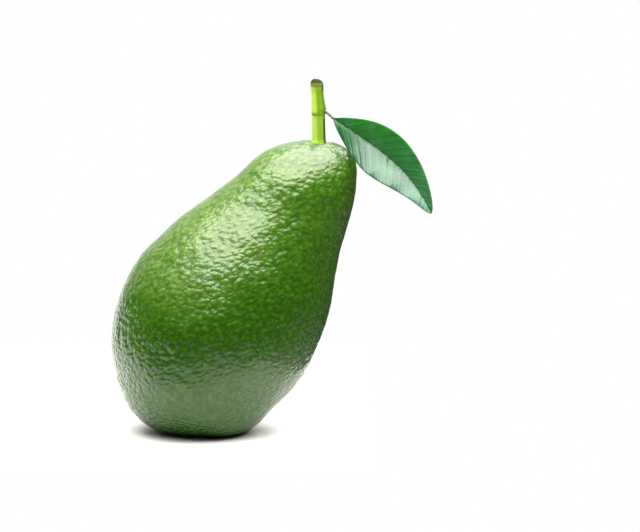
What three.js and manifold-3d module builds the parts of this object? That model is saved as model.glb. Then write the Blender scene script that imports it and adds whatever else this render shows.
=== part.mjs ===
// A whole green avocado with its cut stem and one leaf, resting on a small flat spot of its own skin.
// Millimetres. +Z is up, the neck leans towards +X and the leaf's tip droops towards -Y.
// The origin is the middle of the resting spot.
import * as THREE from 'three';
import { mergeVertices } from 'three/addons/utils/BufferGeometryUtils.js';
import Module from 'manifold-3d';

// ---- Driving dimensions ----

const GAP = 0.3; // clearance left where one piece touches another

// Fruit: its axis runs from the blossom end up to the stem end and leans over.
const LEAN = THREE.MathUtils.degToRad(33); // of the axis, from the vertical towards +X
const AXIS_FOOT = new THREE.Vector3(-12, 0, 13.2); // point of the axis at zero height along it
// Cross-sections from the blossom end to the stem end, as control values of a smooth spline:
// height along the axis, sideways shift of the section's centre, half width.
const SECTIONS = [
  [-20, -3, 0],
  [1, 2.5, 29],
  [13, -0.5, 32],
  [27, 0.1, 36.1],
  [39.5, -0.1, 34.8],
  [53.5, 0.2, 31.7],
  [66, -0.2, 26.1],
  [78.5, -0.4, 21.2],
  [96, -1.1, 17.5],
  [112, 6.3, 0],
];
const ROUNDNESS = { blossomEnd: 1.03, stemEnd: 0.9 }; // depth over width of a section
const DENTS = { height: 0.2, spacing: 19 }; // gentle unevenness of the skin
const FLAT_LEVEL = 0; // the resting spot
const BASIN = { radius: 14, depth: 0.9 }; // ball that hollows the skin round the stem

// Stem: a stub standing in the neck.
const STEM_FOOT = new THREE.Vector3(40.3, 0, 99.4); // bottom of its root, inside the fruit
const STEM_TOP_SHIFT = -0.7; // sideways, over the whole height
const STEM_RIDGES = { count: 5, height: 0.1 };
// Radius and height above the root's bottom.
const STEM_PROFILE = [
  [2.1, 0],
  [2.75, 2.3],
  [2.5, 4],
  [2.35, 8],
  [2.4, 12.2],
  [2.65, 13.4],
  [2.6, 14.8],
  [2.35, 16.4],
  [2.3, 20.4],
  [2.5, 21.8],
  [2.5, 23.4],
  [1.8, 24.6],
];
const STEM_TIP = 25; // height of the cut end's middle

// Leaf: a short stalk from the swelling on the stem, and a blade folded along its midrib.
const STALK_PATH = [
  new THREE.Vector3(41.7, -0.3, 114.4),
  new THREE.Vector3(43.8, -0.9, 113.4),
  new THREE.Vector3(45.1, -1.9, 111.3),
];
const STALK_RADIUS = { root: 0.85, end: 0.6 };
const MIDRIB = [
  new THREE.Vector3(45.3, -2, 111),
  new THREE.Vector3(59.6, -5, 101),
  new THREE.Vector3(71.3, -12, 95.8),
  new THREE.Vector3(79.1, -18, 79.6),
];
const BLADE_HALF_WIDTH = 10.3;
// Powers of the blade's sine outline: where it is fullest, how full, and how far its tip is rounded.
const BLADE_OUTLINE = { place: 0.87, fullness: 0.97, tipRounding: 0.3 };
// Degrees that each half is folded forward, out of the blade's mean plane.
const BLADE_FOLD = { upper: 30, lowerAtStalk: 39, lowerAtTip: 28 };
const BLADE_THICKNESS = 0.6;
const MIDRIB_RELIEF = { height: 0.5, width: 0.9 }; // on the underside
const MARGIN_WAVE = { height: 0.2, waves: 5 };

const FRUIT_MESH = { rows: 45, columns: 48 };
const STEM_SIDES = 25;
const STALK_MESH = { rows: 8, columns: 10 };
const BLADE_MESH = { rows: 44, across: 12 };

const wasm = await Module();
wasm.setup();

// ---- Surfaces and solids ----

// Closed surface over a grid of points. The first and the last row are single points.
// Both halves of the columns are split alike, so that opposite faces mirror each other.
function closedSurface(rows, columns, pointAt) {
  const positions = [...pointAt(0, 0)];
  for (let row = 1; row < rows; row += 1) {
    for (let column = 0; column < columns; column += 1) {
      positions.push(...pointAt(row, column));
    }
  }
  positions.push(...pointAt(rows, 0));
  const last = positions.length / 3 - 1;
  const index = (row, column) => 1 + (row - 1) * columns + (column % columns);
  const triangles = [];
  for (let column = 0; column < columns; column += 1) {
    triangles.push(0, index(1, column + 1), index(1, column));
    triangles.push(last, index(rows - 1, column), index(rows - 1, column + 1));
    for (let row = 1; row < rows - 1; row += 1) {
      const a = index(row, column);
      const b = index(row, column + 1);
      const c = index(row + 1, column + 1);
      const d = index(row + 1, column);
      if (column < columns / 2) {
        triangles.push(a, b, c, a, c, d);
      } else {
        triangles.push(a, b, d, b, c, d);
      }
    }
  }
  const geometry = new THREE.BufferGeometry();
  geometry.setAttribute('position', new THREE.Float32BufferAttribute(positions, 3));
  geometry.setIndex(triangles);
  return geometry;
}

function toSolid(geometry) {
  const plain = geometry.clone();
  plain.deleteAttribute('normal');
  plain.deleteAttribute('uv');
  const merged = mergeVertices(plain, 1e-4);
  const vertProperties = new Float32Array(merged.attributes.position.array);
  const triVerts = new Uint32Array(merged.index.array);
  return new wasm.Manifold(new wasm.Mesh({ numProp: 3, vertProperties, triVerts }));
}

function toGeometry(solid) {
  const mesh = solid.getMesh();
  const geometry = new THREE.BufferGeometry();
  geometry.setAttribute('position', new THREE.BufferAttribute(mesh.vertProperties, 3));
  geometry.setIndex(new THREE.BufferAttribute(mesh.triVerts, 1));
  geometry.computeVertexNormals();
  return geometry;
}

function namedMesh(name, solid, color, roughness) {
  const material = new THREE.MeshStandardMaterial({ color, roughness, metalness: 0 });
  const mesh = new THREE.Mesh(toGeometry(solid), material);
  mesh.name = name;
  return mesh;
}

// ---- Fruit ----

const ALONG = new THREE.Vector3(Math.sin(LEAN), 0, Math.cos(LEAN));
const SIDE = new THREE.Vector3(Math.cos(LEAN), 0, -Math.sin(LEAN));
const DEPTH = new THREE.Vector3(0, 1, 0);
const mirrored = ([height, shift, halfWidth]) => [height, shift, -halfWidth];
const SPLINE_ROWS = [mirrored(SECTIONS[1]), ...SECTIONS, mirrored(SECTIONS.at(-2))];
const SPLINE_END = SECTIONS.length - 1;

// Uniform cubic B-spline of the sections, at a station from 0 (blossom end) to SPLINE_END (stem end).
function sectionAt(station) {
  const first = Math.min(Math.max(Math.floor(station), 0), SPLINE_END - 1);
  const u = station - first;
  const weights = [
    (1 - u) ** 3,
    3 * u ** 3 - 6 * u ** 2 + 4,
    -3 * u ** 3 + 3 * u ** 2 + 3 * u + 1,
    u ** 3,
  ];
  return [0, 1, 2].map((k) => {
    const sum = weights.reduce((total, weight, j) => total + weight * SPLINE_ROWS[first + j][k], 0);
    return sum / 6;
  });
}

// Smooth skin: an ellipse round each section's centre, in a plane square to the axis.
function smoothSkin(station, angle) {
  const [height, shift, halfWidth] = sectionAt(station);
  const roundness = THREE.MathUtils.lerp(ROUNDNESS.blossomEnd, ROUNDNESS.stemEnd, station / SPLINE_END);
  return AXIS_FOOT.clone()
    .addScaledVector(ALONG, height)
    .addScaledVector(SIDE, shift + halfWidth * Math.cos(angle))
    .addScaledVector(DEPTH, halfWidth * roundness * Math.sin(angle));
}

// Shallow dents and swellings, as three crossed waves through the fruit.
function dentAt({ x, y, z }) {
  const k = (2 * Math.PI) / DENTS.spacing;
  const waves = Math.sin(k * (x + 0.4 * z)) + Math.sin(k * (y - 0.3 * x + 5)) + Math.sin(k * (z + 0.5 * y));
  return (DENTS.height * waves) / 3;
}

// Skin with its dents, raised along the surface's own normal.
function skin(station, angle) {
  const step = 1e-3;
  const point = smoothSkin(station, angle);
  const inside = Math.min(Math.max(station, step), SPLINE_END - step);
  const alongSkin = smoothSkin(inside + step, angle).sub(smoothSkin(inside - step, angle));
  const roundSkin = smoothSkin(inside, angle + step).sub(smoothSkin(inside, angle - step));
  const normal = roundSkin.cross(alongSkin).normalize();
  return point.addScaledVector(normal, dentAt(point));
}

function fruitSkinSolid() {
  const { rows, columns } = FRUIT_MESH;
  const pointAt = (row, column) => skin((row / rows) * SPLINE_END, (column / columns) * 2 * Math.PI);
  return toSolid(closedSurface(rows, columns, pointAt));
}

function belowFlatSpot() {
  const size = 200;
  const box = new THREE.BoxGeometry(size, size, size);
  box.translate(0, 0, FLAT_LEVEL - size / 2);
  return toSolid(box);
}

// Ball that hollows the skin round the stem, standing on the stem's line.
function basinBall(skinTop) {
  const ball = new THREE.SphereGeometry(BASIN.radius, 48, 48);
  ball.rotateX(Math.PI / 2);
  ball.translate(STEM_FOOT.x, STEM_FOOT.y, skinTop - BASIN.depth + BASIN.radius);
  return toSolid(ball);
}

// Height of the skin straight above a point of its underside, at the stem.
function skinTopAtStem(fruit) {
  const needle = new THREE.CylinderGeometry(0.5, 0.5, 200, 8);
  needle.rotateX(Math.PI / 2);
  needle.translate(STEM_FOOT.x, STEM_FOOT.y, 0);
  return fruit.intersect(toSolid(needle)).boundingBox().max[2];
}

// ---- Stem ----

// The stem as a turned profile with low ridges, sheared over to the side.
// `grow` widens and deepens it, for the socket that it stands in.
function stemSolid(grow) {
  const profile = [new THREE.Vector2(0, -grow)];
  for (const [radius, height] of STEM_PROFILE) {
    profile.push(new THREE.Vector2(radius + grow, height === 0 ? -grow : height));
  }
  profile.push(new THREE.Vector2(0, STEM_TIP + grow));
  const geometry = new THREE.LatheGeometry(profile, STEM_SIDES);
  geometry.rotateX(Math.PI / 2);
  const position = geometry.attributes.position;
  const point = new THREE.Vector3();
  for (let i = 0; i < position.count; i += 1) {
    point.fromBufferAttribute(position, i);
    const radius = Math.hypot(point.x, point.y);
    const ridge = STEM_RIDGES.height * Math.cos(STEM_RIDGES.count * Math.atan2(point.y, point.x));
    const scale = radius > 0 ? 1 + ridge / radius : 1;
    const shift = STEM_TOP_SHIFT * (point.z / STEM_TIP);
    position.setXYZ(i, point.x * scale + shift, point.y * scale, point.z);
  }
  geometry.translate(...STEM_FOOT);
  return toSolid(geometry);
}

// ---- Leaf ----

// The stalk as a tapering round tube along its path. `grow` widens and lengthens it, for its socket.
function stalkSolid(grow) {
  const path = new THREE.QuadraticBezierCurve3(...STALK_PATH);
  const { rows, columns } = STALK_MESH;
  const pointAt = (row, column) => {
    const along = Math.min(Math.max((row - 1) / (rows - 2), 0), 1);
    const tangent = path.getTangent(along);
    const across = new THREE.Vector3().crossVectors(DEPTH, tangent).normalize();
    const third = new THREE.Vector3().crossVectors(tangent, across);
    const isEnd = row === 0 || row === rows;
    const radius = isEnd ? 0 : THREE.MathUtils.lerp(STALK_RADIUS.root, STALK_RADIUS.end, along) + grow;
    const angle = (column / columns) * 2 * Math.PI;
    return path
      .getPoint(along)
      .addScaledVector(tangent, grow * (2 * along - 1))
      .addScaledVector(across, radius * Math.cos(angle))
      .addScaledVector(third, radius * Math.sin(angle));
  };
  return toSolid(closedSurface(rows, columns, pointAt));
}

// Half width of the blade: fullest a little before its middle, narrowing to a slightly blunt tip.
function bladeHalfWidth(along) {
  const { place, fullness, tipRounding } = BLADE_OUTLINE;
  return BLADE_HALF_WIDTH * Math.sin(Math.PI * along ** place) ** (fullness - tipRounding * along ** 6);
}

// Fold of the half that `across` lies on: the lower half opens out towards the tip.
function bladeFold(along, across) {
  const lower = THREE.MathUtils.lerp(BLADE_FOLD.lowerAtStalk, BLADE_FOLD.lowerAtTip, along);
  return THREE.MathUtils.degToRad(across > 0 ? BLADE_FOLD.upper : lower);
}

// One point of the blade: `across` runs from -1 (lower margin) to 1 (upper margin),
// `face` is 1 on the upper face, -1 on the underside and 0 on the midrib's line.
function bladePoint(midrib, along, across, face) {
  const tangent = midrib.getTangent(along);
  const up = new THREE.Vector3().crossVectors(tangent, DEPTH).normalize();
  const front = new THREE.Vector3().crossVectors(tangent, up);
  const width = bladeHalfWidth(along);
  const fold = bladeFold(along, across);
  const lift = Math.sin(fold) * Math.abs(across) * width;
  const wave = MARGIN_WAVE.height * across ** 2 * Math.sin(2 * Math.PI * MARGIN_WAVE.waves * along);
  const fromMidrib = (across * width) / MIDRIB_RELIEF.width;
  const rib = MIDRIB_RELIEF.height * Math.exp(-fromMidrib * fromMidrib);
  const thickness = face > 0 ? BLADE_THICKNESS / 2 : BLADE_THICKNESS / 2 + rib * (1 - along);
  return midrib
    .getPoint(along)
    .addScaledVector(up, Math.cos(fold) * across * width)
    .addScaledVector(front, lift + wave * Math.min(1, 4 * (1 - along)) + face * thickness);
}

// The blade's section runs over the upper face and back along the underside.
function bladeSolid() {
  const midrib = new THREE.CubicBezierCurve3(...MIDRIB);
  const { rows, across } = BLADE_MESH;
  const columns = 2 * (across + 1);
  const pointAt = (row, column) => {
    if (row === 0 || row === rows) {
      return bladePoint(midrib, row / rows, 0, 0);
    }
    const isTop = column <= across;
    const position = isTop ? column : column - across - 1;
    const side = isTop ? 1 - (2 * position) / across : -1 + (2 * position) / across;
    return bladePoint(midrib, row / rows, side, isTop ? 1 : -1);
  };
  return toSolid(closedSurface(rows, columns, pointAt));
}

// ---- Assembly ----

const wholeFruit = fruitSkinSolid().subtract(belowFlatSpot());
const fruit = wholeFruit.subtract(basinBall(skinTopAtStem(wholeFruit))).subtract(stemSolid(GAP));
const stem = stemSolid(0).subtract(stalkSolid(GAP));

const avocado = new THREE.Group();
avocado.name = 'avocado';
avocado.add(namedMesh('fruit', fruit, '#3f7a1f', 0.35));
avocado.add(namedMesh('stem', stem, '#a9cf45', 0.5));
avocado.add(namedMesh('leaf_stalk', stalkSolid(0), '#a9a578', 0.6));
avocado.add(namedMesh('leaf_blade', bladeSolid(), '#2f7a34', 0.3));

export default avocado;
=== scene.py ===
# A whole green avocado with its cut stem and one leaf, resting on the small flat spot of its skin.
import math

import bpy
import numpy as np
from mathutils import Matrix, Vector


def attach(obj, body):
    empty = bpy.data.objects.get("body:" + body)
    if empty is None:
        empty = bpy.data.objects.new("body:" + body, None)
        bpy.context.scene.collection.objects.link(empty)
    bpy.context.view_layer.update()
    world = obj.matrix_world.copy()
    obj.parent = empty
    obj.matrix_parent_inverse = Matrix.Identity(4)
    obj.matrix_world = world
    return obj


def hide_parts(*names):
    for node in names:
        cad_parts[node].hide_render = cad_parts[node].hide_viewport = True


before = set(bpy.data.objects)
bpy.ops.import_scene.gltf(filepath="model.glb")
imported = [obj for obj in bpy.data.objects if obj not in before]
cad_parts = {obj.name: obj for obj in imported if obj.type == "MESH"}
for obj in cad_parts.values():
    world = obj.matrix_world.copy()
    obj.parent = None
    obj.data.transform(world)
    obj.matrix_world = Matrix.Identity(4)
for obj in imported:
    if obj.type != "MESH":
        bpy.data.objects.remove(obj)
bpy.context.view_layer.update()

# ---------------------------------------------------------------------------
# Fruit
# One solid, grown in one piece: a pear shape with a leathery skin of low pebbles.
# The neck leans over, and a little skin is pressed flat where the fruit rests.
# ---------------------------------------------------------------------------

# The leaning axis: its foot, mm, and the ways along it, across it and away from the front.
LEAN = math.radians(33)
AXIS_FOOT = np.array([-12.0, 0.0, 13.2])
ALONG = np.array([math.sin(LEAN), 0.0, math.cos(LEAN)])
SIDE = np.array([math.cos(LEAN), 0.0, -math.sin(LEAN)])
DEPTH = np.array([0.0, 1.0, 0.0])

# Cross-sections from the blossom end to the stem end, mm: height along the axis,
# sideways shift of the centre and half width, as control values of a cubic spline.
SECTIONS = np.array([
    (-20, -3, 0),
    (1, 2.5, 29),
    (13, -0.5, 32),
    (27, 0.1, 36.1),
    (39.5, -0.1, 34.8),
    (53.5, 0.2, 31.7),
    (66, -0.2, 26.1),
    (78.5, -0.4, 21.2),
    (96, -1.1, 17.5),
    (112, 6.3, 0),
])
ROUNDNESS = (1.03, 0.9)  # depth over width, at the blossom end and at the stem end
STEM_FOOT = np.array([40.3, 0.0, 99.4])  # bottom of the stem's root, mm

FRUIT_ROWS, FRUIT_COLUMNS = 300, 330
# Relief of the skin, mm. The wide dents are in the solid too.
DENT_HEIGHT, DENT_SPACING = 0.2, 19.0
SWELL_HEIGHT, SWELL_SIZE = 0.2, 8.0
PEBBLE_HEIGHT, PEBBLE_SIZE, PEBBLE_BEND = 0.19, 2.8, 1.2
CREASE_RISE = math.radians(20)  # the way the creases run, above the level, towards the leaf's side
CREASE_STRETCH = 1.4
# The hollow round the stem: full depth out to the first radius, none at the second.
BASIN_RADII, BASIN_DEPTH = (2.2, 5.2), 0.9
BASIN_LOWEST = AXIS_FOOT[2] + 60  # only skin above this height can be in the hollow
# The blossom scar, where the flower fell off.
SCAR_RADIUS, SCAR_DEPTH = 1.6, 0.25
# Share of the pebbles' height that is missing in the hollow and on the scar.
BASIN_CALM, SCAR_CALM = 0.7, 0.6

# Where the skin's colour or texture changes. Each pair says where a change starts and where it is
# full: along the axis in mm, or as the cosine of the angle from the side that is named.
SUNNED_SIDE, SUNNED_FADE = np.array([-0.15, -0.45, 0.88]), (0.5, 1.0)  # yellower: painted light on the side that faces the softbox
COARSE_SIDE, COARSE_FADE = np.array([-0.74, -0.4, -0.54]), (0.55, 0.95)  # deeper wrinkles
NECK_FADE = (50, 92)  # fresher green
BLOOM_FADE, BLOOM_UPWARD_FADE = (88, 103), (0.3, 0.8)  # greyer on the neck's top where it faces up: a painted sheen
DEEP_BAND, DEEP_FRONT_FADE = 0.15, (0.6, 0.95)  # darkest green in a band where the skin faces level, towards the front: painted shade


def cubic_spline(rows, at):
    """Uniform cubic B-spline: each point is the usual four-weight blend of the four control rows
    round it. The rows at both ends are mirrored, with the last value negated, to close the ends."""
    turned = np.array([1, 1, -1])
    padded = np.vstack([rows[1] * turned, rows, rows[-2] * turned])
    first = np.clip(np.floor(at).astype(int), 0, len(rows) - 2)
    u = (at - first)[..., None]
    weights = (
        (1 - u) ** 3,
        3 * u**3 - 6 * u**2 + 4,
        -3 * u**3 + 3 * u**2 + 3 * u + 1,
        u**3,
    )
    return sum(weight * padded[first + k] for k, weight in enumerate(weights)) / 6


def smooth_skin(station, angle):
    """Skin without its relief, mm: at each station, an ellipse round the section's centre,
    square to the leaning axis, half width by half width times roundness."""
    height, shift, half = np.moveaxis(cubic_spline(SECTIONS, station), -1, 0)
    end = len(SECTIONS) - 1
    depth = half * (ROUNDNESS[0] + (ROUNDNESS[1] - ROUNDNESS[0]) * station / end)
    across = shift + half * np.cos(angle)
    return (
        AXIS_FOOT
        + height[..., None] * ALONG
        + across[..., None] * SIDE
        + (depth * np.sin(angle))[..., None] * DEPTH
    )


def even_stations(count):
    """Stations from end to end that are evenly spaced along the skin's front meridian."""
    fine = np.linspace(0, len(SECTIONS) - 1, 4000)
    line = smooth_skin(fine, np.full_like(fine, -math.pi / 2))
    length = np.append(0, np.cumsum(np.linalg.norm(np.diff(line, axis=0), axis=1)))
    return np.interp(np.linspace(0, length[-1], count), length, fine)


def grid_normals(points):
    """Outward unit normals of a closed grid: the step round the piece crossed with the step along it.
    The two end rows, which are single points, take the mean of the row beside them."""
    around = np.roll(points, -1, axis=1) - np.roll(points, 1, axis=1)
    along = np.gradient(points, axis=0)
    normals = np.cross(around, along)
    normals[0] = normals[1].mean(axis=0)
    normals[-1] = normals[-2].mean(axis=0)
    return normals / np.maximum(np.linalg.norm(normals, axis=-1, keepdims=True), 1e-12)


LATTICE_SHIFT = 1000  # cells, so that none has a negative number
# How sharply the nearest centre wins, and the squared distance, in cells, from it to a crease.
DOME_SHARPNESS, DOME_REACH = 9, 0.75


def cell_random(cells, seed):
    """Repeatable numbers from 0 to 1 for whole-number cells: each cell's three numbers are
    multiplied by large odd numbers, joined, and mixed by shifts."""
    x, y, z = (cells[..., k].astype(np.uint64) for k in range(3))
    mixed = x * np.uint64(73856093) ^ y * np.uint64(19349663) ^ z * np.uint64(83492791)
    mixed = (mixed + np.uint64(seed)) * np.uint64(0x9E3779B97F4A7C15)
    mixed ^= mixed >> np.uint64(29)
    mixed *= np.uint64(0xBF58476D1CE4E5B9)
    mixed ^= mixed >> np.uint64(32)
    return (mixed >> np.uint64(40)).astype(float) / 2**24


def smooth_noise(points, size, seed):
    """Noise from -1 to 1: random values on a lattice of the given size, blended smoothly."""
    scaled = points / size + LATTICE_SHIFT
    base = np.floor(scaled)
    u = scaled - base
    u = u * u * u * (u * (u * 6 - 15) + 10)
    total = 0
    for corner in np.ndindex(2, 2, 2):
        weight = np.prod(np.where(corner, u, 1 - u), axis=-1)
        total = total + weight * cell_random(base + corner, seed)
    return 2 * total - 1


def pebbles(points, size, seed):
    """Low domes packed side by side: 1 on each dome's top, falling to 0 in the creases between.
    Each lattice cell holds one dome's centre, and the nearest centres are blended softly."""
    scaled = points / size + LATTICE_SHIFT
    base = np.floor(scaled)
    total = 0
    for offset in np.ndindex(3, 3, 3):
        cell = base + offset - 1
        centre = cell + np.stack([cell_random(cell, seed + k) for k in range(3)], axis=-1)
        gap = np.sum((scaled - centre) ** 2, axis=-1)
        total = total + np.exp(-DOME_SHARPNESS * gap)
    nearest = -np.log(total) / DOME_SHARPNESS
    return np.clip(1 - nearest / DOME_REACH, 0, 1)


def closed_mesh(name, points, **masks):
    """Closed, smoothly shaded mesh over a grid of points in mm. Rows run along the piece and columns
    round it; the first and the last row are single points. Each mask is kept as an attribute."""
    rows, columns = points.shape[:2]

    def flat(grid):
        return np.concatenate([grid[:1, 0], grid[1:-1].reshape(-1, *grid.shape[2:]), grid[-1:, 0]])

    ring = np.arange(columns)
    after = np.roll(ring, -1)
    starts = 1 + columns * np.arange(rows - 3)[:, None]
    quads = np.stack(
        [starts + ring, starts + after, starts + columns + after, starts + columns + ring], axis=-1
    )
    last = 1 + columns * (rows - 2)
    first_fan = np.stack([0 * ring, 1 + after, 1 + ring], axis=-1)
    last_fan = np.stack([0 * ring + last, last - columns + ring, last - columns + after], axis=-1)
    faces = quads.reshape(-1, 4).tolist() + first_fan.tolist() + last_fan.tolist()
    mesh = bpy.data.meshes.new(name)
    mesh.from_pydata((flat(points) / 1000).tolist(), [], faces)
    mesh.shade_smooth()
    for mask_name, values in masks.items():
        attribute = mesh.attributes.new(mask_name, "FLOAT", "POINT")
        attribute.data.foreach_set("value", flat(values).astype(np.float32))
    piece = bpy.data.objects.new(name, mesh)
    bpy.context.scene.collection.objects.link(piece)
    return piece


def fade(values, low, high):
    """Smooth step from 0 at low to 1 at high."""
    u = np.clip((values - low) / (high - low), 0, 1)
    return u * u * (3 - 2 * u)


station, angle = np.meshgrid(
    even_stations(FRUIT_ROWS),
    np.linspace(0, 2 * math.pi, FRUIT_COLUMNS, endpoint=False),
    indexing="ij",
)
skin = smooth_skin(station, angle)
normals = grid_normals(skin)
wave = 2 * math.pi / DENT_SPACING
x, y, z = np.moveaxis(skin, -1, 0)
# Three crossed waves through the fruit, as in the solid.
dents = np.sin(wave * (x + 0.4 * z)) + np.sin(wave * (y - 0.3 * x + 5)) + np.sin(wave * (z + 0.5 * y))
swell = smooth_noise(skin, SWELL_SIZE, seed=11)
bend = np.stack([smooth_noise(skin, 2 * PEBBLE_SIZE, seed) for seed in (31, 32, 33)], axis=-1)
crease_way = np.array([math.cos(CREASE_RISE), 0, math.sin(CREASE_RISE)])
drawn_out = skin - (1 - 1 / CREASE_STRETCH) * (skin @ crease_way)[..., None] * crease_way
relief = pebbles(drawn_out + PEBBLE_BEND * bend, PEBBLE_SIZE, seed=21)
from_stem = np.hypot(skin[..., 0] - STEM_FOOT[0], skin[..., 1] - STEM_FOOT[1])
basin = (1 - fade(from_stem, *BASIN_RADII)) * (skin[..., 2] > BASIN_LOWEST)
from_scar = np.linalg.norm(skin - skin[0, 0], axis=-1)
scar = 1 - fade(from_scar, 0.7 * SCAR_RADIUS, 1.3 * SCAR_RADIUS)
pebble_room = (1 - BASIN_CALM * basin) * (1 - SCAR_CALM * scar)
lift = DENT_HEIGHT * dents / 3 + SWELL_HEIGHT * swell + PEBBLE_HEIGHT * relief * pebble_room
lift = lift - BASIN_DEPTH * basin - SCAR_DEPTH * scar
skin = skin + lift[..., None] * normals
skin[..., 2] = np.maximum(skin[..., 2], 0)
up_the_axis = (skin - AXIS_FOOT) @ ALONG
facing_up = normals[..., 2]
facing_front = -normals[..., 1]
fruit = closed_mesh(
    "avocado_skin",
    skin,
    relief=relief,
    basin=basin,
    scar=scar,
    sunned=fade(normals @ SUNNED_SIDE, *SUNNED_FADE),
    neck=fade(up_the_axis, *NECK_FADE),
    bloom=fade(up_the_axis, *BLOOM_FADE) * fade(facing_up, *BLOOM_UPWARD_FADE),
    coarse=fade(normals @ COARSE_SIDE, *COARSE_FADE),
    deep=np.exp(-((facing_up / DEEP_BAND) ** 2)) * fade(facing_front, *DEEP_FRONT_FADE),
)


def hex_colour(code):
    """Linear colour of an sRGB hex code, by the sRGB curve."""
    srgb = [int(code[k : k + 2], 16) / 255 for k in (1, 3, 5)]
    return (*(c / 12.92 if c <= 0.04045 else ((c + 0.055) / 1.055) ** 2.4 for c in srgb), 1)


def add_node(material, kind, settings=(), **links):
    """Adds a node, sets its properties, and sets or links its inputs by name. An input whose name
    ends in a number is that input's place among the node's inputs."""
    tree = material.node_tree
    node = tree.nodes.new(kind)
    for name, value in dict(settings).items():
        setattr(node, name, value)
    for name, value in links.items():
        tail = name.rsplit("_", 1)[-1]
        socket = node.inputs[int(tail)] if tail.isdigit() else node.inputs[name.replace("_", " ")]
        if isinstance(value, bpy.types.NodeSocket):
            tree.links.new(value, socket)
        else:
            socket.default_value = value
    return node


def new_material(name):
    """Material with an empty node tree."""
    material = bpy.data.materials.new(name)
    material.use_nodes = True
    material.node_tree.nodes.clear()
    return material


# Waxy avocado skin: deep chlorophyll green, with pale breathing pores. It is lighter on the pebbles'
# tops and darker in the creases, a painted shade, darker in a band where it faces level towards the
# front, a painted shade, yellower on the side that faces the softbox, painted light, and greyer at the
# top of the neck, a painted sheen. The thin wax gives it a satin, sharply broken shine. Sizes are in
# mm. The grain is really finer, and is drawn coarser so that it shows.
WRINKLE_SIZE, WRINKLE_DEPTH = 1.5, 0.26
WRINKLE_SHARES = (1.0, 2.2)  # of that depth, on the fine part and on the coarse part
DRIFT_SIZE = 3.75  # of the noise that bends the wrinkles
GRAIN_SIZE, GRAIN_SHARE = 0.7, 0.3
FLECK_SIZE = 1.3
PORE_SPACING = 2.4
PATCH_SIZE = 16.0  # duller and shinier patches
SKIN_ROUGHNESS = (0.17, 0.24)
WAX_IOR = 1.46

peel = new_material("waxy_avocado_peel")
place = add_node(peel, "ShaderNodeTexCoord").outputs["Object"]
turned = add_node(peel, "ShaderNodeMapping", Vector=place, Rotation=(0, CREASE_RISE, 0))
stretched = add_node(peel, "ShaderNodeMapping", Vector=turned.outputs[0], Scale=(1 / CREASE_STRETCH, 1, 1))
drift = add_node(peel, "ShaderNodeTexNoise", Vector=place, Scale=1000 / DRIFT_SIZE, Detail=1.0)
bent = add_node(
    peel,
    "ShaderNodeVectorMath",
    {"operation": "MULTIPLY_ADD"},
    in_0=drift.outputs["Color"],
    in_1=(WRINKLE_SIZE / 1000,) * 3,
    in_2=stretched.outputs[0],
)
wrinkles = add_node(
    peel,
    "ShaderNodeTexVoronoi",
    {"feature": "SMOOTH_F1"},
    Vector=bent.outputs[0],
    Scale=1000 / WRINKLE_SIZE,
    Smoothness=0.5,
)
grain = add_node(peel, "ShaderNodeTexNoise", Vector=place, Scale=1000 / GRAIN_SIZE, Detail=2.0)
flecks = add_node(peel, "ShaderNodeTexNoise", Vector=bent.outputs[0], Scale=1000 / FLECK_SIZE, Detail=2.0)
patches = add_node(peel, "ShaderNodeTexNoise", Vector=place, Scale=1000 / PATCH_SIZE, Detail=3.0)
pores = add_node(peel, "ShaderNodeTexVoronoi", Vector=place, Scale=1000 / PORE_SPACING)
pore_strength = add_node(peel, "ShaderNodeSeparateColor", Color=pores.outputs["Color"])
skin_masks = {
    name: add_node(peel, "ShaderNodeAttribute", {"attribute_name": name}).outputs["Fac"]
    for name in ("relief", "basin", "scar", "sunned", "neck", "bloom", "coarse", "deep")
}

# Layers of colour, one over the other: the pattern or mask that each follows, the values between
# which it sets in, its share where it is full, and its colour.
green = hex_colour("#254905")
for mask, start, full, share, colour in (
    # Painted shade: darker green in a band where the skin faces level, towards the front.
    (skin_masks["deep"], 0.0, 1.0, 0.5, "#1a3603"),
    (skin_masks["neck"], 0.0, 1.0, 1.0, "#395c16"),
    # Painted light: yellower green on the side that faces the softbox.
    (skin_masks["sunned"], 0.0, 1.0, 1.0, "#50681e"),
    # Painted sheen: greyer on the top of the neck, where it faces up towards the softbox.
    (skin_masks["bloom"], 0.0, 1.0, 1.0, "#56624a"),
    # Painted shade: darker in the creases between the wrinkles and between the pebbles.
    (wrinkles.outputs["Distance"], 0.3, 0.62, 0.6, "#1d3f05"),
    (skin_masks["relief"], 0.9, 0.3, 0.35, "#234807"),
    (flecks.outputs[0], 0.45, 0.7, 0.22, "#588b21"),
    (pores.outputs["Distance"], 0.16, -0.2, pore_strength.outputs[0], "#7f9c40"),
    (skin_masks["basin"], 0.0, 1.0, 1.0, "#737f4c"),
    (skin_masks["scar"], 0.0, 1.0, 1.0, "#4a3a1e"),
):
    amount = add_node(peel, "ShaderNodeMapRange", Value=mask, From_Min=start, From_Max=full, To_Max=share)
    layer = add_node(
        peel,
        "ShaderNodeMix",
        {"data_type": "RGBA"},
        in_0=amount.outputs[0],
        in_6=green,
        in_7=hex_colour(colour),
    )
    green = layer.outputs[2]
wrinkle_share = add_node(
    peel,
    "ShaderNodeMapRange",
    Value=skin_masks["coarse"],
    To_Min=-WRINKLE_SHARES[0],
    To_Max=-WRINKLE_SHARES[1],
)
wrinkle_height = add_node(
    peel,
    "ShaderNodeMath",
    {"operation": "MULTIPLY"},
    in_0=wrinkles.outputs["Distance"],
    in_1=wrinkle_share.outputs[0],
)
surface_height = add_node(
    peel,
    "ShaderNodeMath",
    {"operation": "MULTIPLY_ADD"},
    in_0=grain.outputs[0],
    in_1=GRAIN_SHARE,
    in_2=wrinkle_height.outputs[0],
)
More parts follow.
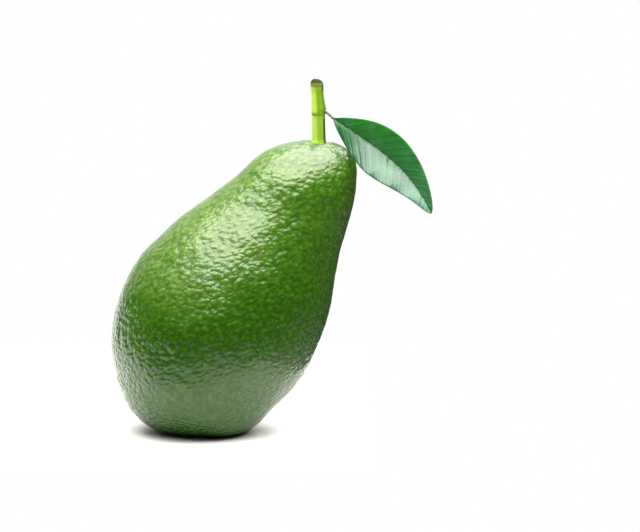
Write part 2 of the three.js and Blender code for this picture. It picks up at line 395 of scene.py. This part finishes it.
skin_bump = add_node(
    peel, "ShaderNodeBump", Distance=WRINKLE_DEPTH / 1000, Height=surface_height.outputs[0]
)
skin_roughness = add_node(
    peel,
    "ShaderNodeMapRange",
    Value=patches.outputs[0],
    From_Min=0.3,
    From_Max=0.7,
    To_Min=SKIN_ROUGHNESS[0],
    To_Max=SKIN_ROUGHNESS[1],
)
skin_shader = add_node(
    peel,
    "ShaderNodeBsdfPrincipled",
    Base_Color=green,
    Roughness=skin_roughness.outputs[0],
    Normal=skin_bump.outputs[0],
    IOR=WAX_IOR,
)
add_node(peel, "ShaderNodeOutputMaterial", Surface=skin_shader.outputs[0])
fruit.data.materials.append(peel)
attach(fruit, "root")
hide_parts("fruit")

# ---------------------------------------------------------------------------
# Stem
# A stub of the green fruit stalk, woody and faintly ridged, cut across at the top, where it has
# dried brown. It swells where the leaf grows from it, and flares into the fruit at its foot.
# ---------------------------------------------------------------------------

# Radius and height above the root's bottom, mm.
STEM_PROFILE = np.array([
    (2.1, 0),
    (2.65, 2.3),
    (2.4, 4),
    (2.3, 8),
    (2.25, 12.2),
    (2.4, 13.4),
    (2.35, 14.8),
    (2.2, 16.4),
    (2.1, 20.4),
    (2.25, 21.8),
    (2.25, 23.2),
    (2.0, 24.2),
    (1.4, 24.8),
])
STEM_TIP = 25.2  # height of the cut end's middle
CUT_DOME = 0.4  # how far that middle stands above the cut's edge
STEM_TOP_SHIFT = -0.85
STEM_ROWS, STEM_COLUMNS, CUT_RINGS = 190, 96, 13
RIDGES, RIDGE_HEIGHT = 5, 0.07
FIBRES, FIBRE_HEIGHT, FIBRE_TWIST = 17, 0.03, 0.25  # the twist is in radians for each mm of height
NODE_HEIGHT = 12.9  # of the ring where the leaf grows
BUD_HEIGHT, BUD_SWELL = 14.6, 0.45
BUD_REACH, BUD_SPREAD = (3.2, 0.8), 0.7  # mm upwards and downwards, and radians round the stem
FRAY_HEIGHT, FRAY_SIZE, FRAY_FADE = 0.12, 1.6, (20, 23)  # unevenness towards the cut
EDGE_NOISE_SIZE = 1.3  # of the noise that makes the edges of the stem's colours uneven
WORN_FADE, CUT_FADE = (21.9, 23.2), (23.4, 24.1)  # heights at which the top browns
ABOVE_NODE_FADE, BELOW_TOP_FADE = (NODE_HEIGHT - 1.5, NODE_HEIGHT + 1), (20, 22)
NODE_REACH, RING_REACH = 1.2, 0.5  # mm above and below the node that it changes the bark
# Radians round the stem from the leaf's side: of the dark olive strip of painted shade, and of the part
# painted greener as shade.
DRY_TURN, DRY_FADE = -0.2, (-0.62, -0.46)
SHADED_START_FADE, SHADED_END_FADE = (-2.1, -1.45), (1.6, 2.4)


def stem_centre(height):
    """Middle of the stem, mm: straight up, then sideways with the height to the power 2.5."""
    bend = STEM_TOP_SHIFT * (np.maximum(height, 0) / STEM_TIP) ** 2.5
    return STEM_FOOT + np.stack([bend, 0 * height, height], axis=-1)


def bud_mask(height, turn):
    """1 at the bud over the leaf stalk, fading slowly upwards and quickly elsewhere."""
    reach = np.where(height > BUD_HEIGHT, *BUD_REACH)
    off_side = (turn + math.pi) % (2 * math.pi) - math.pi
    return np.exp(-(((height - BUD_HEIGHT) / reach) ** 2) - (off_side / BUD_SPREAD) ** 2)


def stem_surface(height, turn):
    """Stem, mm: the radius follows the profile by height, plus five low ridges, finer fibres and
    the swelling of the bud; the whole bends sideways towards the top."""
    radius = np.interp(height, STEM_PROFILE[:, 1], STEM_PROFILE[:, 0])
    fibres = FIBRE_HEIGHT * np.sin(FIBRES * turn + FIBRE_TWIST * height)
    radius = radius + RIDGE_HEIGHT * np.cos(RIDGES * turn) + fibres
    radius = radius + BUD_SWELL * bud_mask(height, turn)
    return stem_centre(height) + np.stack(
        [radius * np.cos(turn), radius * np.sin(turn), 0 * height], axis=-1
    )


height, turn = np.meshgrid(
    np.linspace(0, STEM_PROFILE[-1, 1], STEM_ROWS),
    np.linspace(0, 2 * math.pi, STEM_COLUMNS, endpoint=False),
    indexing="ij",
)
bark = stem_surface(height, turn)
# Both ends close in to the stem's middle: a flat root, hidden in the fruit, and a domed cut end.
end_rings = np.linspace(1, 0, CUT_RINGS + 1)[1:]
top_centre = stem_centre(np.array(STEM_TIP))
top = top_centre + (bark[-1] - top_centre) * end_rings[:, None, None]
top[..., 2] = STEM_FOOT[2] + STEM_TIP - CUT_DOME * end_rings[:, None] ** 3
root = np.broadcast_to(STEM_FOOT, (1, STEM_COLUMNS, 3))
bark = np.concatenate([root, bark, top])
level = bark[..., 2] - STEM_FOOT[2]
fray = FRAY_HEIGHT * smooth_noise(bark, FRAY_SIZE, seed=5) * fade(level, *FRAY_FADE)
bark = bark + fray[..., None] * grid_normals(bark)
from_centre = bark - stem_centre(level)
around = np.arctan2(from_centre[..., 1], from_centre[..., 0])
edge_noise = smooth_noise(bark, EDGE_NOISE_SIZE, seed=8)
near_node = np.exp(-(((level - NODE_HEIGHT) / NODE_REACH) ** 2))
above_node = fade(level, *ABOVE_NODE_FADE) * (1 - fade(level, *BELOW_TOP_FADE))
# Painted shade: a dark olive strip runs up the side that the leaf is on, fainter above the node. The bud is
# dried olive all round.
dry_strip = fade(-np.abs(around - DRY_TURN), *DRY_FADE) * (1 - 0.5 * above_node) * (1 - near_node)
dry_bud = 0.7 * bud_mask(level, around) * (level > BUD_HEIGHT - 0.6)
# Painted shade: the bark is painted a darker, greener colour on the leaf's side, from front to back, than
# on the rest.
shaded = fade(around, *SHADED_START_FADE) * (1 - fade(around, *SHADED_END_FADE))
shaded = shaded * (0.75 + 0.25 * above_node)
stem = closed_mesh(
    "stem_stub",
    bark,
    worn=fade(level + 0.6 * edge_noise, *WORN_FADE),
    cut=fade(level + 0.3 * edge_noise, *CUT_FADE),
    dry=np.maximum(dry_strip, dry_bud),
    shaded=shaded,
    ring=np.exp(-((level - NODE_HEIGHT) / RING_REACH) ** 2),
)

# Green stalk bark: fresh and lime green with paler streaks, with painted shade that makes it darker
# green on the leaf's side and dark olive in a strip along that side, and brown at the cut. Fine fibres run
# up it, and it shines only softly.
FIBRE_SIZE, FIBRE_STRETCH, FIBRE_DEPTH = 0.7, 0.15, 0.1  # mm, width over length, mm
BLOTCH_SIZE = 2.5
BARK_ROUGHNESS = (0.45, 0.95)  # of the green bark and of the cut

green_bark = new_material("fresh_stalk_bark")
place = add_node(green_bark, "ShaderNodeTexCoord").outputs["Object"]
drawn_out = add_node(green_bark, "ShaderNodeMapping", Vector=place, Scale=(1, 1, FIBRE_STRETCH))
fibres = add_node(
    green_bark, "ShaderNodeTexNoise", Vector=drawn_out.outputs[0], Scale=1000 / FIBRE_SIZE, Detail=3.0
)
blotches = add_node(green_bark, "ShaderNodeTexNoise", Vector=place, Scale=1000 / BLOTCH_SIZE, Detail=3.0)
bark_masks = {
    name: add_node(green_bark, "ShaderNodeAttribute", {"attribute_name": name}).outputs["Fac"]
    for name in ("shaded", "ring", "worn", "dry", "cut")
}
lime = hex_colour("#9fbd48")
for amount, colour in (
    (blotches.outputs[0], "#afd056"),
    (fibres.outputs[0], "#a0be48"),
    # Painted shade: darker green on the leaf's side.
    (bark_masks["shaded"], "#628a0c"),
    (bark_masks["ring"], "#688c0c"),
    (bark_masks["worn"], "#5d642c"),
    # Painted shade in the strip up the leaf's side; dried olive round the bud.
    (bark_masks["dry"], "#3c4a16"),
    (bark_masks["cut"], "#26240e"),
):
    layer = add_node(
        green_bark, "ShaderNodeMix", {"data_type": "RGBA"}, in_0=amount, in_6=lime, in_7=hex_colour(colour)
    )
    lime = layer.outputs[2]
fibre_bump = add_node(
    green_bark, "ShaderNodeBump", Distance=FIBRE_DEPTH / 1000, Height=fibres.outputs[0]
)
bark_roughness = add_node(
    green_bark,
    "ShaderNodeMapRange",
    Value=bark_masks["cut"],
    To_Min=BARK_ROUGHNESS[0],
    To_Max=BARK_ROUGHNESS[1],
)
bark_shader = add_node(
    green_bark,
    "ShaderNodeBsdfPrincipled",
    Base_Color=lime,
    Roughness=bark_roughness.outputs[0],
    Normal=fibre_bump.outputs[0],
    IOR=1.46,
    Specular_IOR_Level=0.3,
)
add_node(green_bark, "ShaderNodeOutputMaterial", Surface=bark_shader.outputs[0])
stem.data.materials.append(green_bark)
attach(stem, "root")
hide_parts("stem")

# ---------------------------------------------------------------------------
# Leaf stalk
# The short, tan stalk that carries the leaf: round with faint ridges, and thicker where it grows
# from the swelling on the stem.
# ---------------------------------------------------------------------------

# All in mm, except for the share of the stalk's length that the swelling takes.
STALK_PATH = np.array([(41.4, -0.3, 113.9), (44.0, -0.9, 112.7), (45.4, -2.0, 110.9)])
STALK_RADII = (0.55, 0.4)
STALK_SWELL, SWELL_SHARE = 0.25, 0.25
STALK_RIDGES, STALK_RIDGE_HEIGHT = 6, 0.03
STALK_ROWS, STALK_COLUMNS = 40, 40


def bezier(controls, at):
    """Bezier curve of two or three spans of control points, and its unit tangent."""
    degree = len(controls) - 1
    t = at[..., None]
    point = sum(
        math.comb(degree, k) * t**k * (1 - t) ** (degree - k) * controls[k] for k in range(degree + 1)
    )
    steps = np.diff(controls, axis=0)
    slope = sum(
        math.comb(degree - 1, k) * t**k * (1 - t) ** (degree - 1 - k) * steps[k] for k in range(degree)
    )
    return point, slope / np.linalg.norm(slope, axis=-1, keepdims=True)


def stalk_surface(along, turn):
    """Leaf stalk, mm: a ring square to the path at each station. Its radius narrows evenly, plus the
    swelling at the foot and the faint ridges."""
    centre, tangent = bezier(STALK_PATH, along)
    across = np.cross(DEPTH, tangent)
    across /= np.linalg.norm(across, axis=-1, keepdims=True)
    third = np.cross(tangent, across)
    radius = STALK_RADII[0] + (STALK_RADII[1] - STALK_RADII[0]) * along
    radius = radius + STALK_SWELL * np.exp(-((along / SWELL_SHARE) ** 2))
    radius = (radius + STALK_RIDGE_HEIGHT * np.cos(STALK_RIDGES * turn))[..., None]
    tube = centre + radius * (np.cos(turn)[..., None] * across + np.sin(turn)[..., None] * third)
    return np.concatenate([centre[:1], tube, centre[-1:]])


along, turn = np.meshgrid(
    np.linspace(0, 1, STALK_ROWS),
    np.linspace(0, 2 * math.pi, STALK_COLUMNS, endpoint=False),
    indexing="ij",
)
stalk = closed_mesh("leaf_petiole", stalk_surface(along, turn))

# Thin grey-tan bark with short dark flecks, dull.
TAN_FLECK_SIZE, TAN_FLECK_DEPTH = 0.8, 0.1

tan_bark = new_material("leaf_stalk_bark")
place = add_node(tan_bark, "ShaderNodeTexCoord").outputs["Object"]
flecks = add_node(tan_bark, "ShaderNodeTexNoise", Vector=place, Scale=1000 / TAN_FLECK_SIZE, Detail=3.0)
fleck_mask = add_node(tan_bark, "ShaderNodeMapRange", Value=flecks.outputs[0], From_Min=0.35, From_Max=0.65)
tan = add_node(
    tan_bark,
    "ShaderNodeMix",
    {"data_type": "RGBA"},
    in_0=fleck_mask.outputs[0],
    in_6=hex_colour("#4a4430"),
    in_7=hex_colour("#6a6450"),
)
fleck_bump = add_node(
    tan_bark, "ShaderNodeBump", Distance=TAN_FLECK_DEPTH / 1000, Height=flecks.outputs[0]
)
tan_shader = add_node(
    tan_bark,
    "ShaderNodeBsdfPrincipled",
    Base_Color=tan.outputs[2],
    Roughness=0.55,
    Normal=fleck_bump.outputs[0],
)
add_node(tan_bark, "ShaderNodeOutputMaterial", Surface=tan_shader.outputs[0])
stalk.data.materials.append(tan_bark)
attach(stalk, "root")
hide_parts("leaf_stalk")

# ---------------------------------------------------------------------------
# Leaf blade
# One leathery leaf, folded along its midrib and drooping towards its pointed tip. Its upper side
# is dark and glossy with sunken side veins; its underside is paler, with a raised midrib.
# ---------------------------------------------------------------------------

MIDRIB = np.array([(45.3, -2, 111), (59.6, -5, 101), (71.3, -12, 95.8), (79.1, -18, 79.6)])
BLADE_LENGTH = 50
BLADE_ROWS, BLADE_ACROSS = 200, 70
# Powers of the sine outline: where it is fullest, how full, and how far its tip is rounded.
OUTLINE_PLACE, OUTLINE_FULLNESS, TIP_ROUNDING = 0.87, 0.97, 0.3
# Widest reach of each half across the leaf's front, mm, and how far each folds forward; the lower
# half's values are at the stalk and at the tip.
UPPER_WIDTH, LOWER_WIDTHS = 8.9, (8.0, 9.1)
UPPER_FOLD, LOWER_FOLDS = math.radians(22), np.radians((30, 22))
FOOT_TWIST, FOOT_TWIST_FADE = math.radians(20), (0.1, 0.5)  # lost along that share of the leaf
ARCH = 0.15  # extra steepness of each half beside the midrib
# Heights and widths of the relief, mm.
BLADE_THICKNESS, EDGE_POWER = 0.45, 24  # a high power keeps the edge thick up to its rounding
MARGIN_WAVE, MARGIN_WAVES = 0.2, 5
QUILTING = 0.12
VEIN_DEPTH, VEIN_WIDTH, VEIN_END_FADE = 0.08, 0.3, (-0.95, -0.7)
MIDRIB_DEPTH, MIDRIB_WIDTH = 0.06, 0.45
RIB_HEIGHT, RIB_WIDTH, RIB_TAPER = 0.5, 0.6, 0.8  # on the underside
SIDE_VEINS = 13
VEIN_SLANT = 1.15  # how far along the leaf a side vein runs, over how far it runs out
HALVES_FADE = (-0.03, 0.03)


def blade_surface(along, side, face):
    """Blade, mm: from the midrib's curve, each half goes out by the width at that station, turned
    towards the front by the fold, with a low quilting between the side veins."""
    centre, tangent = bezier(MIDRIB, along)
    up = np.cross(tangent, DEPTH)
    up /= np.linalg.norm(up, axis=-1, keepdims=True)
    front = np.cross(tangent, up)
    outline = np.clip(np.sin(math.pi * along**OUTLINE_PLACE), 0, 1)
    outline = outline ** (OUTLINE_FULLNESS - TIP_ROUNDING * along**6)
    lower_width = LOWER_WIDTHS[0] + (LOWER_WIDTHS[1] - LOWER_WIDTHS[0]) * along
    out = side * outline * np.where(side > 0, UPPER_WIDTH, lower_width)
    lower_fold = LOWER_FOLDS[0] + (LOWER_FOLDS[1] - LOWER_FOLDS[0]) * along
    lower_fold = lower_fold - FOOT_TWIST * (1 - fade(along, *FOOT_TWIST_FADE))
    fold = np.where(side > 0, UPPER_FOLD, lower_fold)
    inward = 1 - np.abs(side)
    lift = (np.tan(fold) + ARCH * inward) * np.abs(out)
    wave = np.sin(2 * math.pi * MARGIN_WAVES * along) * np.minimum(1, 4 * (1 - along))
    margin_wave = MARGIN_WAVE * side**2 * wave
    edge = np.sqrt(np.clip(1 - np.abs(side) ** EDGE_POWER, 0, 1))
    # The side veins' number along the leaf, and the distance from the nearest one, 0 to 1.
    vein_run = SIDE_VEINS * (along * BLADE_LENGTH - VEIN_SLANT * np.abs(out)) / BLADE_LENGTH
    vein = np.abs((vein_run % 1) - 0.5) * 2
    from_vein = (1 - vein) * BLADE_LENGTH / SIDE_VEINS / 2
    vein_line = np.exp(-((from_vein / VEIN_WIDTH) ** 2)) * fade(-np.abs(side), *VEIN_END_FADE)
    midrib_line = np.exp(-((out / MIDRIB_WIDTH) ** 2))
    quilting = QUILTING * vein * inward**0.5 * np.minimum(1, 6 * along)
    relief = quilting - VEIN_DEPTH * vein_line - MIDRIB_DEPTH * midrib_line
    rib = RIB_HEIGHT * np.exp(-((out / RIB_WIDTH) ** 2)) * (1 - RIB_TAPER * along)
    thickness = BLADE_THICKNESS / 2 * edge + (face < 0) * rib
    point = (
        centre
        + out[..., None] * up
        + (lift + margin_wave + relief + face * thickness)[..., None] * front
    )
    return point, vein_line, vein_run


# Round the section: over the front from edge to edge, and back behind; denser towards the edges.
half = np.linspace(1, -1, BLADE_ACROSS)
sides = np.sin(half * math.pi / 2)
section = np.concatenate([sides, sides[::-1][1:-1]])
faces = np.concatenate([np.ones(BLADE_ACROSS), -np.ones(BLADE_ACROSS - 2)])
stations = np.linspace(0, 1, BLADE_ROWS)
along, side = np.meshgrid(stations, section, indexing="ij")
face = np.broadcast_to(faces, along.shape)
blade, veins, vein_run = blade_surface(along, side, face)
upper_half = fade(side, *HALVES_FADE)
leaf = closed_mesh(
    "leaf_blade_dressed",
    blade,
    veins=veins,
    vein_run=vein_run,
    along=along,
    upper_half=upper_half,
    upper_tip=upper_half * np.clip((along - 0.1) / 0.9, 0, 1),
    underside=(face < 0).astype(float),
)

# Waxed leaf skin: deep green and smooth, so that it mirrors the light softly, with darker streaks
# that run with the side veins. The two halves are painted as lit and shaded copies of one green: the
# lower half bluer and paler to the tip, a painted sheen, and darker towards the stalk, a painted
# shade; the upper half a clearer green, greyer to its tip, a painted sheen. The underside is greyer
# green. Sizes are in mm.
CLOUD_SIZE = 9
CELL_SIZE = 0.9  # the fine net between the veins, drawn coarser than it is so that it shows
STREAKS_PER_VEIN = 2.2
LEAF_BUMP_DEPTH = 0.02
# Height of the streaks over that of the cells: near the stalk, and where the leaf is calm.
STREAK_SHARES = (20.0, 2.0)
LEAF_ROUGHNESS = (0.26, 0.34)  # of the leaf, and at its foot
LEAF_IOR = 1.43

leaf_skin = new_material("glossy_leaf")
place = add_node(leaf_skin, "ShaderNodeTexCoord").outputs["Object"]
clouds = add_node(leaf_skin, "ShaderNodeTexNoise", Vector=place, Scale=1000 / CLOUD_SIZE, Detail=2.0)
cells = add_node(leaf_skin, "ShaderNodeTexVoronoi", Vector=place, Scale=1000 / CELL_SIZE)
leaf_masks = {
    name: add_node(leaf_skin, "ShaderNodeAttribute", {"attribute_name": name}).outputs["Fac"]
    for name in ("veins", "vein_run", "along", "upper_half", "upper_tip", "underside")
}
streaks = add_node(
    leaf_skin,
    "ShaderNodeTexNoise",
    {"noise_dimensions": "1D"},
    W=leaf_masks["vein_run"],
    Scale=STREAKS_PER_VEIN,
    Detail=1.0,
)

# Layers of colour as on the peel: mask, start, full, share, colour.
leaf_green = hex_colour("#0a4028")
for mask, start, full, share, colour in (
    (streaks.outputs[0], 0.42, 0.6, 0.8, "#083a12"),
    # Painted shade: darker towards the stalk.
    (leaf_masks["along"], 0.34, 0.1, 1.0, "#0f541e"),
    # Painted sheen: bluer and paler towards the tip.
    (leaf_masks["along"], 0.1, 1.0, 1.0, "#345f50"),
    # The halves painted as lit and shaded copies: the upper half a clearer green.
    (leaf_masks["upper_half"], 0.0, 1.0, 1.0, "#14700e"),
    # Painted sheen: greyer towards the upper half's tip.
    (leaf_masks["upper_tip"], 0.0, 1.0, 1.0, "#33613c"),
    (streaks.outputs[0], 0.45, 0.65, 0.38, "#0f4416"),
    (clouds.outputs[0], 0.5, 0.75, 0.5, "#4c8462"),
    (leaf_masks["veins"], 0.0, 1.0, 0.3, "#4a8a4c"),
    (leaf_masks["underside"], 0.0, 1.0, 1.0, "#4d7a44"),
):
    amount = add_node(
        leaf_skin, "ShaderNodeMapRange", Value=mask, From_Min=start, From_Max=full, To_Max=share
    )
    layer = add_node(
        leaf_skin,
        "ShaderNodeMix",
        {"data_type": "RGBA"},
        in_0=amount.outputs[0],
        in_6=leaf_green,
        in_7=hex_colour(colour),
    )
    leaf_green = layer.outputs[2]
to_tip = add_node(leaf_skin, "ShaderNodeMapRange", Value=leaf_masks["along"], From_Min=0.1)
calm = add_node(
    leaf_skin,
    "ShaderNodeMath",
    {"operation": "MAXIMUM"},
    in_0=leaf_masks["upper_half"],
    in_1=to_tip.outputs[0],
)
streak_share = add_node(
    leaf_skin,
    "ShaderNodeMapRange",
    Value=calm.outputs[0],
    To_Min=STREAK_SHARES[0],
    To_Max=STREAK_SHARES[1],
)
leaf_height = add_node(
    leaf_skin,
    "ShaderNodeMath",
    {"operation": "MULTIPLY_ADD"},
    in_0=streaks.outputs[0],
    in_1=streak_share.outputs[0],
    in_2=cells.outputs["Distance"],
)
leaf_bump = add_node(
    leaf_skin, "ShaderNodeBump", Distance=LEAF_BUMP_DEPTH / 1000, Height=leaf_height.outputs[0]
)
leaf_roughness = add_node(
    leaf_skin,
    "ShaderNodeMapRange",
    Value=leaf_masks["along"],
    From_Min=0.34,
    From_Max=0.1,
    To_Min=LEAF_ROUGHNESS[0],
    To_Max=LEAF_ROUGHNESS[1],
)
leaf_shader = add_node(
    leaf_skin,
    "ShaderNodeBsdfPrincipled",
    Base_Color=leaf_green,
    Roughness=leaf_roughness.outputs[0],
    Normal=leaf_bump.outputs[0],
    IOR=LEAF_IOR,
)
add_node(leaf_skin, "ShaderNodeOutputMaterial", Surface=leaf_shader.outputs[0])
leaf.data.materials.append(leaf_skin)
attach(leaf, "root")
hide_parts("leaf_blade")

# ---------------------------------------------------------------------------
# Floor
# A sheet of plain white card, just large enough to take the fruit and its shadow. It is painted a
# little greyer towards its front edge, a painted shade where the light falls off in front.
# ---------------------------------------------------------------------------

CARD_LEFT, CARD_RIGHT, CARD_FRONT, CARD_BACK = -0.2, 0.06, -0.078, 0.2
GREY_START = -0.045  # metres towards the front edge, where the card's painted shade begins

card_mesh = bpy.data.meshes.new("white_card")
card_corners = [
    (CARD_LEFT, CARD_FRONT, 0),
    (CARD_RIGHT, CARD_FRONT, 0),
    (CARD_RIGHT, CARD_BACK, 0),
    (CARD_LEFT, CARD_BACK, 0),
]
card_mesh.from_pydata(card_corners, [], [(0, 1, 2, 3)])
card = bpy.data.objects.new("white_card", card_mesh)
bpy.context.scene.collection.objects.link(card)
paper = new_material("matt_white_card")
place = add_node(paper, "ShaderNodeTexCoord").outputs["Object"]
paper_axes = add_node(paper, "ShaderNodeSeparateXYZ", Vector=place)
forward = add_node(
    paper, "ShaderNodeMapRange", Value=paper_axes.outputs["Y"], From_Min=GREY_START, From_Max=CARD_FRONT
)
# Painted shade: the card greys towards its front edge.
paper_tone = add_node(
    paper,
    "ShaderNodeMix",
    {"data_type": "RGBA"},
    in_0=forward.outputs[0],
    in_6=hex_colour("#d4d4d4"),
    in_7=hex_colour("#909090"),
)
paper_shader = add_node(
    paper, "ShaderNodeBsdfPrincipled", Base_Color=paper_tone.outputs[2], Roughness=0.9
)
add_node(paper, "ShaderNodeOutputMaterial", Surface=paper_shader.outputs[0])
card_mesh.materials.append(paper)

# ---------------------------------------------------------------------------
# Light
# One wide softbox overhead, turned a little, in a dim room with a glow high up in front and a pale
# backdrop far behind on the left. The white floor goes on behind and to the left, and its glow
# shows along the fruit's left edge. Seen directly, all round the card is plain white.
# ---------------------------------------------------------------------------

SOFTBOX_CENTRE = (0.2, -0.09, 0.66)
SOFTBOX_SIZE = (1.2, 0.88)
SOFTBOX_TURN = math.radians(20)
SOFTBOX_RADIANCE = 9.0
FLOOR_GLOW, FLOOR_NEAR, FLOOR_FAR = 2.8, 0.95, 0.06
BACKDROP_GLOW, ROOM_GLOW, CEILING_GLOW, FRONT_GLOW = 1.1, 0.02, 2.0, 2.6

softbox_data = bpy.data.lights.new("overhead_softbox", "AREA")
softbox_data.shape = "RECTANGLE"
softbox_data.color = (1.0, 0.985, 0.89)
softbox_data.size, softbox_data.size_y = SOFTBOX_SIZE
softbox_data.energy = SOFTBOX_RADIANCE * math.pi * SOFTBOX_SIZE[0] * SOFTBOX_SIZE[1]
softbox = bpy.data.objects.new("overhead_softbox", softbox_data)
softbox.location = SOFTBOX_CENTRE
softbox.rotation_euler = (0, 0, SOFTBOX_TURN)
softbox.visible_camera = False
bpy.context.scene.collection.objects.link(softbox)

world = bpy.data.worlds.new("dim_room_white_floor")
bpy.context.scene.world = world
world.use_nodes = True
world.node_tree.nodes.clear()
direction = add_node(world, "ShaderNodeTexCoord").outputs["Generated"]
axes = add_node(world, "ShaderNodeSeparateXYZ", Vector=direction)
# Smooth ramps over the room's directions: axis, from, to, and the glow at each.
glows = {}
for name, axis, low, high, low_glow, high_glow in (
    ("to_left", "X", 0.02, -0.22, 0.0, 1.0),
    ("floor_behind", "Y", -0.2, 0.6, 0.0, FLOOR_GLOW),
    ("floor_front", "Z", -0.62, -0.25, FLOOR_NEAR, FLOOR_FAR),
    ("left_half", "X", 0.3, -0.1, 0.0, 1.0),
    ("backdrop", "Y", 0.4, 0.95, 0.0, BACKDROP_GLOW),
    ("ceiling", "Z", 0.35, 0.95, ROOM_GLOW, CEILING_GLOW),
    ("front", "Y", -0.2, -0.6, 0.0, FRONT_GLOW),
    ("high", "Z", 0.5, 0.85, 0.0, 1.0),
    ("above_floor", "Z", -0.03, 0.03, 0.0, 1.0),
):
    ramp = add_node(
        world,
        "ShaderNodeMapRange",
        {"interpolation_type": "SMOOTHSTEP"},
        Value=axes.outputs[axis],
        From_Min=low,
        From_Max=high,
        To_Min=low_glow,
        To_Max=high_glow,
    )
    glows[name] = ramp.outputs[0]
floor = add_node(
    world,
    "ShaderNodeMath",
    {"operation": "MULTIPLY_ADD"},
    in_0=glows["to_left"],
    in_1=glows["floor_behind"],
    in_2=glows["floor_front"],
)
walls = add_node(
    world,
    "ShaderNodeMath",
    {"operation": "MULTIPLY_ADD"},
    in_0=glows["left_half"],
    in_1=glows["backdrop"],
    in_2=glows["ceiling"],
)
walls = add_node(
    world,
    "ShaderNodeMath",
    {"operation": "MULTIPLY_ADD"},
    in_0=glows["front"],
    in_1=glows["high"],
    in_2=walls.outputs[0],
)
room = add_node(
    world,
    "ShaderNodeMix",
    {"data_type": "FLOAT"},
    in_0=glows["above_floor"],
    in_2=floor.outputs[0],
    in_3=walls.outputs[0],
)
ray = add_node(world, "ShaderNodeLightPath").outputs["Is Camera Ray"]
seen = add_node(world, "ShaderNodeMix", {"data_type": "FLOAT"}, in_0=ray, in_2=room.outputs[0], in_3=1.0)
glow = add_node(world, "ShaderNodeBackground", Color=(1, 1, 1, 1), Strength=seen.outputs[0])
add_node(world, "ShaderNodeOutputWorld", Surface=glow.outputs[0])

# ---------------------------------------------------------------------------
# Camera
# A long lens, level with the fruit's middle and a little above it.
# ---------------------------------------------------------------------------

AIM = np.array([0.0408, 0.0, 0.0589])  # metres
ELEVATION = math.radians(8)
DISTANCE = 1.3
FRAME_WIDTH = 0.224  # metres across the picture at the fruit

camera_data = bpy.data.cameras.new("camera")
camera_data.sensor_width = 36
camera_data.lens = camera_data.sensor_width * DISTANCE / FRAME_WIDTH
camera_data.clip_start = 0.01
camera = bpy.data.objects.new("camera", camera_data)
back = np.array([0, -math.cos(ELEVATION), math.sin(ELEVATION)])
camera.location = AIM + DISTANCE * back
camera.rotation_euler = Vector(back).to_track_quat("Z", "Y").to_euler()
bpy.context.scene.collection.objects.link(camera)
bpy.context.scene.camera = camera
bpy.context.scene.view_settings.view_transform = "Standard"
